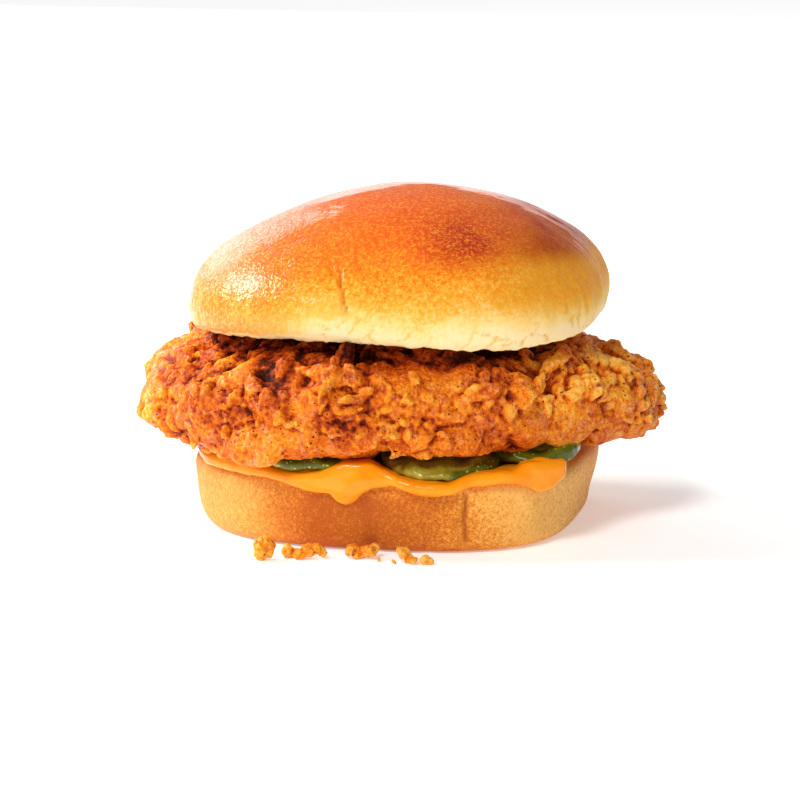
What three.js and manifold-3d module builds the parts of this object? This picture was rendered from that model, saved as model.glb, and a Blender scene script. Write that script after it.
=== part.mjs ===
// A chicken burger: a soft, square-shouldered bun cut in two, holding orange sauce that runs over its front
// edge, three crinkle-cut pickle slices and one craggy fried chicken fillet that is longer than the bun.
// Millimetres, +Z up, the front towards -Y, resting on the flat foot of the bottom bun at z = 0.

import * as THREE from 'three';
import { mergeVertices } from 'three/addons/utils/BufferGeometryUtils.js';
import Module from 'manifold-3d';

const wasm = await Module();
wasm.setup();

const { degToRad, smoothstep, lerp, clamp } = THREE.MathUtils;

// Driving dimensions
const GAP = 0.3;               // air between pieces that lie on each other
const BUN = { halfWidth: 42, halfDepth: 39, squareness: 2.8, yaw: degToRad(-12), columns: 52 };
const HEEL = { height: 15, foot: 0.9, shoulder: 5.5, waist: 0.975, wide: 0.982, shift: 0.3 };
const CROWN = {
  underside: 41, height: 27.1, cut: 0.955, widest: 4.4, lean: 3.7, lip: 0.9, lipTurn: 1.4,
  leftFullness: 1.72, rightFullness: 1.79, roundness: 0.52,
};
const SAUCE = {
  thickness: 1.2, bead: 1.3, lip: 1.6, inset: 3.5, shoulder: 1.5, sunk: 1.2, corner: 1.7,
  columns: 72, crowding: 0.6,
};
const PICKLE = { thickness: 3.0, wave: 0.42, waveLength: 6.4, bulge: 0.5, sides: 28 };
const FILLET = {
  halfLength: 52.6, halfWidth: 38.5, forward: 2.0, squareness: 2.4, taper: 0.25, columns: 108,
  middle: 28.6, leftDroop: 1.6, rightDroop: 3.0, halfThickness: 12.1, leftEnd: 11.6, rightEnd: 10.0,
  over: 2.7, under: 3.6,
};
const CRUST = { swell: 1.2, swellLength: 16, large: 9.5, small: 4.6, warp: 2.5, level: 0.82 };
const BREAD = { swell: 0.5, swellLength: 17 };

// Heights of the stack, from the foot up: the lowest pickle lies on the bun, with the sauce round it
const PICKLE_FOOT = HEEL.height + GAP + PICKLE.wave;
const PICKLE_TOP = PICKLE_FOOT + PICKLE.thickness + PICKLE.wave;
const FILLET_FLOOR = HEEL.height + SAUCE.thickness + GAP;
const FILLET_ROOF = CROWN.underside - GAP;

// Where the sauce hangs over the front of the bun: the place of each lobe along X, how far down it runs and
// its half width
const DRIPS = [
  { x: -13.0, down: 1.0, spread: 10.0 },
  { x: -16.0, down: 1.1, spread: 4.6 },
  { x: -9.4, down: 2.6, spread: 2.5 },
  { x: 7.2, down: 2.3, spread: 2.6 },
  { x: 27.6, down: 2.6, spread: 3.0 },
];

// The pickle slices, each at its centre, how far it lies above the bun on the sauce, and the turn of its ridges
const PICKLES = [
  { name: 'pickle_left', x: -16.8, y: -25.6, rise: 1.3, radius: 11.6, turn: degToRad(24) },
  { name: 'pickle_middle', x: 7.4, y: -28.2, rise: 0, radius: 12.0, turn: degToRad(-8) },
  { name: 'pickle_right', x: 28.6, y: -22.2, rise: 1.8, radius: 9.4, turn: degToRad(-34) },
];

// The flakes of crust that stand out most on the front: the place along X and the height, the half length,
// half height and half depth of the flake, and its tilt
const FLAKES = [
  { x: -46, z: 38.0, size: [4.4, 3.4, 3.6], tilt: 20 },
  { x: -37, z: 37.5, size: [7.0, 3.4, 3.4], tilt: -14 },
  { x: -31, z: 34.0, size: [6.6, 2.6, 3.0], tilt: 16 },
  { x: -26, z: 30.5, size: [5.6, 4.0, 3.2], tilt: -30 },
  { x: -28.5, z: 22.0, size: [7.6, 4.8, 3.8], tilt: -6 },
  { x: -21, z: 36.0, size: [3.0, 4.8, 3.0], tilt: -12 },
  { x: -14, z: 34.0, size: [5.4, 3.8, 2.8], tilt: 36 },
  { x: -10, z: 30.0, size: [4.6, 2.2, 2.8], tilt: -50 },
  { x: 14, z: 34.5, size: [5.2, 3.4, 3.0], tilt: 18 },
  { x: 22, z: 32.0, size: [4.4, 4.8, 3.0], tilt: 40 },
  { x: 31, z: 35.5, size: [7.6, 2.6, 3.2], tilt: 16 },
  { x: 38, z: 30.5, size: [5.4, 3.0, 2.8], tilt: -20 },
  { x: 43, z: 34.5, size: [4.6, 4.0, 3.4], tilt: 10 },
  { x: -11, z: 24.0, size: [10.0, 4.4, 2.6], tilt: 0 },
  { x: 7, z: 24.0, size: [10.0, 4.2, 2.4], tilt: 0 },
];

// A fixed random number from 0 to 1 for each whole-number triple
function scatter(i, j, k) {
  const s = Math.sin(i * 127.1 + j * 311.7 + k * 74.7) * 43758.5453;
  return s - Math.floor(s);
}

// Smooth noise from -1 to 1 at a point, with bumps about size across
function noise(x, y, z, size) {
  const cell = [x, y, z].map((value) => Math.floor(value / size));
  const [fx, fy, fz] = [x, y, z].map((value, axis) => smoothstep(value / size - cell[axis], 0, 1));
  const corner = (i, j, k) => scatter(cell[0] + i, cell[1] + j, cell[2] + k);
  const edge = (j, k) => lerp(corner(0, j, k), corner(1, j, k), fx);
  return 2 * lerp(lerp(edge(0, 0), edge(1, 0), fy), lerp(edge(0, 1), edge(1, 1), fy), fz) - 1;
}

// Rounded lumps packed side by side, each about size across: 1 on top of a lump, about 0.75 in the creases
function lumps(x, y, z, size) {
  const cell = [x, y, z].map((value) => Math.floor(value / size));
  let nearest = 1;
  for (let n = 0; n < 27; n += 1) {
    const i = cell[0] + (n % 3) - 1;
    const j = cell[1] + (Math.floor(n / 3) % 3) - 1;
    const k = cell[2] + Math.floor(n / 9) - 1;
    const heart = [i + scatter(i, j, k), j + scatter(j, k, i + 7), k + scatter(k, i, j + 13)];
    nearest = Math.min(nearest, Math.hypot(x / size - heart[0], y / size - heart[1], z / size - heart[2]));
  }
  return Math.sqrt(1 - nearest * nearest);
}

// The radius of a rounded rectangle, as a superellipse, at an angle
function outline(angle, halfWidth, halfDepth, squareness) {
  const across = Math.abs(Math.cos(angle) / halfWidth) ** squareness;
  const along = Math.abs(Math.sin(angle) / halfDepth) ** squareness;
  return (across + along) ** (-1 / squareness);
}

function bunRadius(angle) {
  return outline(angle - BUN.yaw, BUN.halfWidth, BUN.halfDepth, BUN.squareness);
}

// The bottom bun is a little narrower than the top one, and its edge swells unevenly
function heelRadius(angle) {
  const [x, y] = [BUN.halfWidth * Math.cos(angle), BUN.halfWidth * Math.sin(angle)];
  return HEEL.wide * bunRadius(angle) + BREAD.swell * noise(x, y, 0, BREAD.swellLength);
}

// A closed body with only positions, its shared vertices merged
function merged(geometry) {
  geometry.deleteAttribute('normal');
  geometry.deleteAttribute('uv');
  return mergeVertices(geometry, 1e-4);
}

function solidOf(geometry) {
  const body = merged(geometry);
  return new wasm.Manifold(new wasm.Mesh({
    numProp: 3,
    vertProperties: new Float32Array(body.attributes.position.array),
    triVerts: new Uint32Array(body.index.array),
  }));
}

function geometryOf(solid) {
  const { vertProperties, triVerts } = solid.getMesh();
  const geometry = new THREE.BufferGeometry();
  geometry.setAttribute('position', new THREE.BufferAttribute(vertProperties, 3));
  geometry.setIndex(new THREE.BufferAttribute(triVerts, 1));
  geometry.computeVertexNormals();
  return geometry;
}

// A profile of [radius, height] points turned round Z, with each vertex then put where place(vertex) moves it
function turned(profile, columns, place = () => {}) {
  const points = profile.map(([radius, height]) => new THREE.Vector2(radius, height));
  const geometry = merged(new THREE.LatheGeometry(points, columns).rotateX(Math.PI / 2));
  const position = geometry.attributes.position;
  const vertex = new THREE.Vector3();
  for (let i = 0; i < position.count; i += 1) {
    vertex.fromBufferAttribute(position, i);
    place(vertex);
    position.setXYZ(i, vertex.x, vertex.y, vertex.z);
  }
  return solidOf(geometry);
}

// Steps from 0 to 1, both ends counted
function steps(count, at) {
  return Array.from({ length: count + 1 }, (_, i) => at(i / count));
}

function colouredMesh(name, solid, color, roughness) {
  const material = new THREE.MeshStandardMaterial({ color, roughness, metalness: 0 });
  const mesh = new THREE.Mesh(geometryOf(solid), material);
  mesh.name = name;
  return mesh;
}

// How far out the side of the bottom bun stands at a height, as a share of its outline: round at the foot,
// then flaring
function heelShare(z) {
  const t = clamp(z / HEEL.shoulder, 0, 1);
  const round = lerp(HEEL.foot, HEEL.waist, Math.sqrt(1 - (1 - t) ** 2));
  return round + (1 - HEEL.waist) * smoothstep(z, HEEL.shoulder * 0.6, HEEL.height);
}

// The bottom bun: a flat foot, a rounded lower edge, a side that flares a little, and the flat cut face.
// Grown by a margin, it is the space that the sauce has to leave free.
function bottomBun(margin = 0) {
  const edge = steps(5, (t) => HEEL.shoulder * (1 - Math.cos((t * Math.PI) / 2)));
  const flare = (HEEL.shoulder + HEEL.height) / 2;
  const profile = [
    [0, 0], [HEEL.foot * 0.6, 0], [HEEL.foot, 0],
    ...edge.slice(1).map((z) => [heelShare(z), z]),
    [heelShare(flare), flare], [1, HEEL.height],
    [0.8, HEEL.height], [0.45, HEEL.height], [0, HEEL.height],
  ];
  return turned(profile, BUN.columns, (vertex) => {
    const angle = Math.atan2(vertex.y, vertex.x);
    const share = Math.hypot(vertex.x, vertex.y);
    const radius = share * heelRadius(angle) + margin * smoothstep(share, 0.3, HEEL.foot);
    const z = vertex.z === HEEL.height ? vertex.z + margin : vertex.z;
    vertex.set(HEEL.shift + radius * Math.cos(angle), radius * Math.sin(angle), z);
  });
}

// The top bun: a flat cut underside, a side that swells out and a dome that leans to the right, fuller there
function topBun() {
  const dome = CROWN.height - CROWN.widest;
  const quarter = (count) => steps(count, (t) => (t * Math.PI) / 2).slice(1);
  const profile = [
    [0, 0], [0.5, 0], [0.78, 0], [CROWN.cut, 0],
    ...quarter(3).map((turn) => [lerp(CROWN.cut, 1, Math.sin(turn)), CROWN.widest * (1 - Math.cos(turn))]),
    ...quarter(11).slice(0, -1).map((turn) => [Math.cos(turn), CROWN.widest + dome * Math.sin(turn)]),
    [0, CROWN.height],
  ];
  return turned(profile, BUN.columns, (vertex) => {
    const angle = Math.atan2(vertex.y, vertex.x);
    const share = Math.hypot(vertex.x, vertex.y);
    const rise = clamp(vertex.z / CROWN.height, 0, 1);
    const fullness = lerp(CROWN.leftFullness, CROWN.rightFullness, (1 + Math.cos(angle)) / 2);
    const above = vertex.z > CROWN.widest ? share ** (2 / fullness) : share;
    const rounding = lerp(bunRadius(angle), BUN.halfDepth, CROWN.roundness * smoothstep(rise, 0.3, 1));
    const radius = above * rounding;
    const x = radius * Math.cos(angle) + CROWN.lean * rise ** 1.4;
    const y = radius * Math.sin(angle);
    const uneven = noise(x, y, vertex.z + CROWN.height, BREAD.swellLength) * smoothstep(rise, 0, 0.15);
    const grow = 1 + (2 * BREAD.swell / BUN.halfWidth) * uneven * smoothstep(share, 0.1, 0.7);
    const edge = smoothstep(share, 0.8, CROWN.cut) * (1 - smoothstep(rise, 0, 0.5));
    const lip = CROWN.lip * Math.sin(3 * angle + CROWN.lipTurn) * edge;
    vertex.set(x * grow, y * grow, CROWN.underside + vertex.z + lip);
  });
}

// How much an angle faces the front: 1 at the front, 0 at the back and where the sauce ends at the sides
function frontness(angle) {
  return smoothstep(-Math.sin(angle), 0.16, 0.5);
}

// How far out the sauce lies flat on the cut face: nearly to the rim at the front, well short of it elsewhere
function sauceFlat(angle) {
  return heelRadius(angle) - lerp(SAUCE.inset, SAUCE.shoulder, frontness(angle));
}

// How far it goes on from there, over the front rim and down in lobes
function sauceHang(angle) {
  const x = HEEL.shift + heelRadius(angle) * Math.cos(angle);
  const lobe = (drip) => drip.down * Math.exp(-(Math.abs((x - drip.x) / drip.spread) ** 3));
  const hang = DRIPS.reduce((sum, drip) => sum + lobe(drip), SAUCE.shoulder + SAUCE.lip);
  return lerp(SAUCE.thickness, hang, frontness(angle));
}

// A point on the bun's cut face or down its side, at a distance along the surface, raised off it by height
function onHeel(angle, along, height) {
  const rim = heelRadius(angle);
  const over = Math.max(0, along - rim);
  const turn = clamp(over / SAUCE.corner, 0, 1) * (Math.PI / 2);
  const z = HEEL.height - Math.max(0, over - SAUCE.corner * 0.4);
  const face = Math.min(along, rim) * (over > 0 ? heelShare(z) : 1);
  const radius = face + height * Math.sin(turn);
  return new THREE.Vector3(
    HEEL.shift + radius * Math.cos(angle),
    radius * Math.sin(angle),
    (over > 0 ? z : HEEL.height) + height * Math.cos(turn),
  );
}

// The sauce: an even layer on the cut face that bulges over the front rim and ends in rounded lobes, cut
// round the pickles. In the profile the radius is 0 to 1 on the flat and 1 to 2 over the rim, and the height
// is 0 below and 1 above. The columns crowd towards the front, where the lobes are.
function sauce() {
  const rings = [0.45, 0.8, 1, 1.2, 1.4, 1.6, 1.8, 1.94];
  const profile = [
    [0, 0], ...rings.slice(0, -1).map((ring) => [ring, 0]), [2, 0.5],
    ...rings.slice().reverse().map((ring) => [ring, 1]), [0, 1],
  ];
  const layer = turned(profile, SAUCE.columns, (vertex) => {
    const even = Math.atan2(vertex.y, vertex.x);
    const angle = even - SAUCE.crowding * Math.cos(even);
    const ring = Math.hypot(vertex.x, vertex.y);
    const over = clamp(ring - 1, 0, 1);
    const along = Math.min(ring, 1) * sauceFlat(angle) + over * sauceHang(angle);
    const bead = SAUCE.bead * smoothstep(ring, 0.8, 1.3) * frontness(angle);
    const uneven = 1 + 0.2 * noise(vertex.x * 30, vertex.y * 30, 4, 9);
    const full = (SAUCE.thickness + bead * uneven) * Math.sqrt(1 - over ** 3);
    vertex.copy(onHeel(angle, along, lerp(-SAUCE.sunk, full, vertex.z)));
  });
  const taken = [bottomBun(GAP), ...PICKLES.map((slice) => pickleSeat(slice, GAP))];
  return largest(taken.reduce((rest, piece) => rest.subtract(piece), layer));
}

// The biggest body of a cut solid, without the scraps
function largest(solid) {
  return solid.decompose().reduce((best, piece) => (piece.volume() > best.volume() ? piece : best));
}

// The plain disc of space that a pickle slice takes, grown by a margin
function pickleSeat(slice, margin) {
  const low = PICKLE_FOOT - PICKLE.wave + slice.rise - margin;
  const high = PICKLE_TOP + slice.rise + margin;
  const radius = slice.radius + margin;
  return turned([[0, low], [radius, low], [radius, high], [0, high]], PICKLE.sides)
    .translate([slice.x, slice.y, 0]);
}

// A pickle slice about its own centre: a wavy ribbon, cut by a corrugated knife, trimmed to a round with a
// slightly bulging rim
function pickleSlice(radius) {
  const reach = radius + 1;
  const waves = Math.round((2 * reach) / PICKLE.waveLength);
  const line = steps(waves * 6, (t) => (2 * t - 1) * reach);
  const height = (u) => PICKLE.wave * Math.sin((2 * Math.PI * u) / PICKLE.waveLength);
  const shape = new THREE.Shape([
    ...line.map((u) => new THREE.Vector2(u, height(u))),
    ...line.slice().reverse().map((u) => new THREE.Vector2(u, height(u) + PICKLE.thickness)),
  ]);
  const ribbon = solidOf(new THREE.ExtrudeGeometry(shape, { depth: 2 * reach, bevelEnabled: false, steps: 1 })
    .translate(0, 0, -reach).rotateX(Math.PI / 2));
  const middle = PICKLE.thickness / 2;
  const trim = turned([
    [0, -1], [radius - PICKLE.bulge, -1], [radius, middle],
    [radius - PICKLE.bulge, PICKLE.thickness + 1], [0, PICKLE.thickness + 1],
  ], PICKLE.sides);
  return ribbon.intersect(trim);
}

// The fillet's mid height and half thickness along its length: full over the bun, drooping at both ends
function filletMiddle(x) {
  const droop = x < 0 ? FILLET.leftDroop : FILLET.rightDroop;
  return FILLET.middle - droop * smoothstep(Math.abs(x), 10, FILLET.halfLength);
}

function filletHalfThickness(x) {
  const end = x < 0 ? FILLET.leftEnd : FILLET.rightEnd;
  return lerp(FILLET.halfThickness, end, smoothstep(Math.abs(x), 20, FILLET.halfLength));
}

// A point on the fillet's plain form: angle runs round it seen from above, lift from -90 under it to 90 on
// top, and grow is how far out from that form the point lies
function onFillet(angle, lift, grow = 0) {
  const power = lift < 0 ? FILLET.under : FILLET.over;
  const out = Math.cos(lift) ** (2 / power);
  const up = Math.sign(lift) * Math.abs(Math.sin(lift)) ** (2 / power);
  const plan = outline(angle, FILLET.halfLength, FILLET.halfWidth, FILLET.squareness);
  const radius = plan * out + grow * Math.cos(lift);
  const x = radius * Math.cos(angle);
  const narrowing = 1 - FILLET.taper * smoothstep(x, 0, FILLET.halfLength);
  const y = radius * Math.sin(angle) * narrowing - FILLET.forward;
  return new THREE.Vector3(x, y, filletMiddle(x) + up * filletHalfThickness(x) + grow * Math.sin(lift));
}

// The crust's relief as a distance out from the plain form: broad swells, large lumps, and small ones that
// are deepest on the upper half and at the ends, where the flour caught
function crust({ x, y, z }, lift) {
  const warp = CRUST.warp * noise(x, y, z + FILLET.halfLength, CRUST.large);
  const patch = 0.5 * noise(x, y, z, 2 * CRUST.large) + Math.abs(x) / FILLET.halfLength;
  const rough = smoothstep(lift + patch, -0.1, 1.1);
  const swell = CRUST.swell * noise(x, y, z, CRUST.swellLength);
  const large = CRUST.large * (lumps(x + warp, y, z * 1.3, CRUST.large) - CRUST.level);
  const small = CRUST.small * (lumps(x, y + warp, z, CRUST.small) - CRUST.level);
  return swell + lerp(0.35, 1, rough) * large + lerp(0.3, 1.3, rough) * small;
}

// The direction round the fillet and the lift of a place along X and a height, on its front (side -1) or back
function filletSpot(x, z, side) {
  const up = clamp((z - filletMiddle(x)) / filletHalfThickness(x), -0.9, 0.9);
  const power = up < 0 ? FILLET.under : FILLET.over;
  const lift = Math.sign(up) * Math.asin(Math.abs(up) ** (power / 2));
  const along = clamp(x / (FILLET.halfLength * Math.cos(lift) ** (2 / power)), -0.97, 0.97);
  const across = (1 - Math.abs(along) ** FILLET.squareness) ** (1 / FILLET.squareness);
  return { angle: Math.atan2(side * across * FILLET.halfWidth, along * FILLET.halfLength), lift };
}

// One flake of crust: a ragged lump, long, bent and half sunk in the fillet
function flake({ x, z, size, tilt, side = -1 }, seed) {
  const { angle, lift } = filletSpot(x, z, side);
  const centre = onFillet(angle, lift, -size[2] * 0.3);
  const geometry = merged(new THREE.IcosahedronGeometry(1, 1));
  const position = geometry.attributes.position;
  const vertex = new THREE.Vector3();
  for (let i = 0; i < position.count; i += 1) {
    vertex.fromBufferAttribute(position, i);
    const ragged = 1 + 0.35 * noise(vertex.x + seed * 9, vertex.y, vertex.z, 0.7);
    vertex.set(vertex.x * size[0], vertex.y * size[2], vertex.z * size[1]).multiplyScalar(ragged);
    vertex.z += 0.08 * vertex.x * vertex.x * (scatter(seed, 5, 9) - 0.5);
    position.setXYZ(i, vertex.x, vertex.y, vertex.z);
  }
  geometry.rotateY(degToRad(-tilt)).rotateX(lift / 2).rotateZ(angle + Math.PI / 2);
  geometry.translate(centre.x, centre.y, centre.z);
  return geometry;
}

// The flakes that the back has, as many and as large as the front's, at places drawn by a fixed rule
function backFlakes() {
  return FLAKES.map(({ size, tilt }, i) => ({
    x: lerp(-46, 46, (i + 0.2 + 0.6 * scatter(i, 2, 8)) / FLAKES.length),
    z: lerp(26, 37.5, scatter(i, 4, 1)),
    size,
    tilt: -tilt,
    side: 1,
  }));
}

// The fillet lies on the sauce, and the bun rests on its crags, so nothing of it goes lower or higher
function pressFlat(geometry) {
  const position = geometry.attributes.position;
  for (let i = 0; i < position.count; i += 1) {
    position.setZ(i, clamp(position.getZ(i), FILLET_FLOOR, FILLET_ROOF));
  }
  return geometry;
}

// The fillet: the craggy body with its flakes joined on, pressed over the pickles
function fillet() {
  const lifts = [-90, -78, -64, -52, -42, -33, -25, -17, -9, -1, 7, 15, 23, 31, 39, 48, 58, 70, 90]
    .map(degToRad);
  const profile = lifts.map((lift) => [Math.cos(lift), Math.sin(lift)]);
  profile[0][0] = 0;
  profile[profile.length - 1][0] = 0;
  const body = turned(profile, FILLET.columns, (vertex) => {
    const angle = Math.atan2(vertex.y, vertex.x);
    const lift = Math.atan2(vertex.z, Math.hypot(vertex.x, vertex.y));
    vertex.copy(onFillet(angle, lift, crust(onFillet(angle, lift), lift)));
    vertex.z = clamp(vertex.z, FILLET_FLOOR, FILLET_ROOF);
  });
  const flakes = [...FLAKES, ...backFlakes()].map((spec, i) => solidOf(pressFlat(flake(spec, i))));
  const joined = flakes.reduce((sum, piece) => sum.add(piece), body);
  const seats = PICKLES.map((slice) => pickleSeat(slice, GAP));
  return largest(seats.reduce((rest, seat) => rest.subtract(seat), joined));
}

const burger = new THREE.Group();
burger.add(
  colouredMesh('bun_bottom', bottomBun(), 0xd98a3d, 0.75),
  colouredMesh('sauce', sauce(), 0xf99a14, 0.25),
  colouredMesh('fillet', fillet(), 0xc8702a, 0.55),
  colouredMesh('bun_top', topBun(), 0xcf7427, 0.35),
);
for (const { name, x, y, rise, radius, turn } of PICKLES) {
  const slice = colouredMesh(name, pickleSlice(radius), 0x5f6a1c, 0.3);
  slice.position.set(x, y, PICKLE_FOOT + rise);
  slice.rotation.z = turn;
  burger.add(slice);
}

// The origin is the middle of the box round the burger, at the height that it stands on
const box = new THREE.Box3().setFromObject(burger, true);
burger.position.set(-(box.min.x + box.max.x) / 2, -(box.min.y + box.max.y) / 2, 0);

export default burger;
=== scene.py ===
import itertools
import math

import bmesh
import bpy
import numpy as np
from mathutils import Euler, Matrix, Vector
from mathutils.bvhtree import BVHTree


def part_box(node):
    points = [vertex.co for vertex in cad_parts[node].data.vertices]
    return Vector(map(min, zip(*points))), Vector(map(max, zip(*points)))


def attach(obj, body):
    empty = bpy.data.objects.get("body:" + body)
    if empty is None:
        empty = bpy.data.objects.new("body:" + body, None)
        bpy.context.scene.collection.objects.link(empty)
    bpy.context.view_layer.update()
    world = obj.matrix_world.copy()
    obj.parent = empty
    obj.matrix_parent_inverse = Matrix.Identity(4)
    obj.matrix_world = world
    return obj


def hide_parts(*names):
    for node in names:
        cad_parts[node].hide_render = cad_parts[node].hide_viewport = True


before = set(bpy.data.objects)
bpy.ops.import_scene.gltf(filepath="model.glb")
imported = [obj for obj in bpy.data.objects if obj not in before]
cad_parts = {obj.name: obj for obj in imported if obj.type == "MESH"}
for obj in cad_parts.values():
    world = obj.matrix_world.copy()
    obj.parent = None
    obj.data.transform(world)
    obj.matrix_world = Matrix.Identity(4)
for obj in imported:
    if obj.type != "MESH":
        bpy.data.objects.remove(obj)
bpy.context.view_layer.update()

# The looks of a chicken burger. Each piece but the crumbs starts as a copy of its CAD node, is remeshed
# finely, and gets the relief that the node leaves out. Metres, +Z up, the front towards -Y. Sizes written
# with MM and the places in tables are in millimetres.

MM = 0.001

# The point that the camera and the lamps are aimed at
TARGET = Vector((0.0, 0.0, 23.5)) * MM
# Degrees above level, millimetres from the point, and millimetres of focal length
CAMERA = {"elevation": 11.5, "distance": 650.0, "lens": 142.7}
SENSOR_WIDTH = 36.0


# Scattered numbers

def lattice(cell, seed):
    """A number from 0 to 1 for each row of three whole numbers, the same in each run."""
    x, y, z = (cell[..., axis].astype(np.int64).astype(np.uint32) for axis in range(3))
    start = np.uint32((seed * 974634777 + 12345) & 0xFFFFFFFF)
    mixed = x * np.uint32(374761393) + y * np.uint32(668265263) + z * np.uint32(3266489917) + start
    mixed = (mixed ^ (mixed >> np.uint32(15))) * np.uint32(2246822519)
    mixed = (mixed ^ (mixed >> np.uint32(13))) * np.uint32(3266489917)
    mixed = mixed ^ (mixed >> np.uint32(16))
    return mixed / 4294967296.0


# The noise lies at a slant, so that its grid doesn't show
TURN = np.array(Euler((0.5, 0.7, 0.9)).to_matrix())


def smooth_noise(places, size, seed):
    """Soft noise from -1 to 1 with bumps about `size` apart."""
    scaled = places @ TURN / size
    base = np.floor(scaled)
    part = scaled - base
    part = part * part * part * (part * (part * 6 - 15) + 10)
    total = np.zeros(len(places))
    for corner in itertools.product((0, 1), repeat=3):
        weight = np.prod(np.where(np.array(corner) == 1, part, 1 - part), axis=1)
        total += weight * lattice(base + np.array(corner), seed)
    return total * 2 - 1


def rough_noise(places, size, seed, octaves=3, fall=0.5):
    """Several sizes of soft noise on each other, each half the last."""
    total = np.zeros(len(places))
    for octave in range(octaves):
        total += smooth_noise(places, size / 2 ** octave, seed + octave) * fall ** octave
    return total


def cell_noise(places, size, seed):
    """Distances to the nearest two of points about `size` apart, in sizes, and the nearest one's number."""
    scaled = places @ TURN / size
    base = np.floor(scaled)
    nearest = np.full(len(places), 9.0)
    second = np.full(len(places), 9.0)
    tag = np.zeros(len(places))
    for offset in itertools.product((-1, 0, 1), repeat=3):
        cell = base + np.array(offset)
        centre = cell + np.stack([lattice(cell, seed + axis) for axis in range(3)], axis=1)
        distance = np.linalg.norm(scaled - centre, axis=1)
        closer = distance < nearest
        second = np.where(closer, nearest, np.minimum(second, distance))
        tag = np.where(closer, lattice(cell, seed + 3), tag)
        nearest = np.minimum(nearest, distance)
    return nearest, second, tag


def pebbles(places, size, seed):
    """Round bumps about `size` across, from 0 in the crevices between them to 1 on their tops."""
    nearest, _, _ = cell_noise(places, size, seed)
    return np.sqrt(np.clip(1 - nearest ** 2, 0, 1))


def ease(value, low, high):
    """0 at low and before, 1 at high and beyond, smooth between."""
    share = np.clip((value - low) / (high - low), 0, 1)
    return share * share * (3 - 2 * share)


# Meshes

def points_of(mesh):
    flat = np.empty(len(mesh.vertices) * 3, dtype=np.float32)
    mesh.vertices.foreach_get("co", flat)
    return flat.reshape(-1, 3).astype(float)


def set_points(mesh, places):
    mesh.vertices.foreach_set("co", places.astype(np.float32).ravel())
    mesh.update()


def normals_of(mesh):
    flat = np.empty(len(mesh.vertices) * 3, dtype=np.float32)
    mesh.vertex_normals.foreach_get("vector", flat)
    return flat.reshape(-1, 3).astype(float)


def edges_of(mesh):
    flat = np.empty(len(mesh.edges) * 2, dtype=np.int32)
    mesh.edges.foreach_get("vertices", flat)
    return flat.reshape(-1, 2)


def triangles_of(mesh):
    mesh.calc_loop_triangles()
    flat = np.empty(len(mesh.loop_triangles) * 3, dtype=np.int32)
    mesh.loop_triangles.foreach_get("vertices", flat)
    return flat.reshape(-1, 3)


def relaxed(places, edges, steps, share=0.6):
    """The points after they move towards their neighbours' middle, `steps` times."""
    count = len(places)
    ends = np.concatenate([edges[:, 0], edges[:, 1]])
    others = np.concatenate([edges[:, 1], edges[:, 0]])
    number = np.maximum(np.bincount(ends, minlength=count), 1)[:, None]
    share = np.broadcast_to(np.asarray(share, dtype=float).reshape(-1, 1), (count, 1))
    for _ in range(steps):
        sums = np.stack([np.bincount(ends, places[others, axis], count) for axis in range(3)], axis=1)
        places = places + share * (sums / number - places)
    return places


def triangle_mesh(name, places, triangles):
    """A mesh from arrays of points and of triangles."""
    mesh = bpy.data.meshes.new(name)
    mesh.vertices.add(len(places))
    mesh.vertices.foreach_set("co", places.astype(np.float32).ravel())
    mesh.loops.add(triangles.size)
    mesh.loops.foreach_set("vertex_index", triangles.astype(np.int32).ravel())
    mesh.polygons.add(len(triangles))
    mesh.polygons.foreach_set("loop_start", np.arange(0, triangles.size, 3, dtype=np.int32))
    mesh.update(calc_edges=True)
    return mesh


def ball(level):
    """The points and faces of a round ball of radius 1."""
    shape = bmesh.new()
    bmesh.ops.create_icosphere(shape, subdivisions=level, radius=1.0)
    places = np.array([vertex.co[:] for vertex in shape.verts])
    faces = np.array([[vertex.index for vertex in face.verts] for face in shape.faces])
    shape.free()
    return places, faces


def joined(name, shapes, faces):
    """One mesh of several shapes that share the same faces."""
    count = len(shapes[0])
    rows = np.concatenate([faces + index * count for index in range(len(shapes))])
    return triangle_mesh(name, np.concatenate(shapes), rows)


def merged(name, first, second):
    """One mesh of two."""
    rows = np.concatenate([triangles_of(first), triangles_of(second) + len(first.vertices)])
    return triangle_mesh(name, np.concatenate([points_of(first), points_of(second)]), rows)


def new_piece(name, data):
    piece = bpy.data.objects.new(name, data)
    bpy.context.scene.collection.objects.link(piece)
    return piece


def copy_of(node, name):
    """A new piece with the node's shape, its triangles joined at their corners."""
    shape = bmesh.new()
    shape.from_mesh(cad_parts[node].data)
    bmesh.ops.remove_doubles(shape, verts=shape.verts, dist=0.001 * MM)
    mesh = bpy.data.meshes.new(name)
    shape.to_mesh(mesh)
    shape.free()
    return new_piece(name, mesh)


def modify(piece, kind, **settings):
    """Apply one modifier to a piece."""
    modifier = piece.modifiers.new("step", kind)
    for key, value in settings.items():
        setattr(modifier, key, value)
    bpy.context.view_layer.update()
    shown = piece.evaluated_get(bpy.context.evaluated_depsgraph_get())
    mesh = bpy.data.meshes.new_from_object(shown)
    piece.modifiers.clear()
    piece.data = mesh


# The size of the smallest shapes that each mesh holds
VOXELS = {
    "crown": 0.56, "heel": 0.5, "sauce": 0.4, "pickle": 0.32, "batter": 0.7, "fillet": 0.36, "crumbs": 0.22,
}


def remesh(piece, part):
    modify(piece, "REMESH", mode="VOXEL", voxel_size=VOXELS[part] * MM, use_smooth_shade=True)


def keep_number(mesh, name, values):
    """Keep one number for each point, for the material to read."""
    layer = mesh.attributes.new(name, "FLOAT", "POINT")
    layer.data.foreach_set("value", values.astype(np.float32))


def tree_of(piece):
    """What rays are cast at to find places on a piece."""
    return BVHTree.FromObject(piece, bpy.context.evaluated_depsgraph_get())


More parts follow.
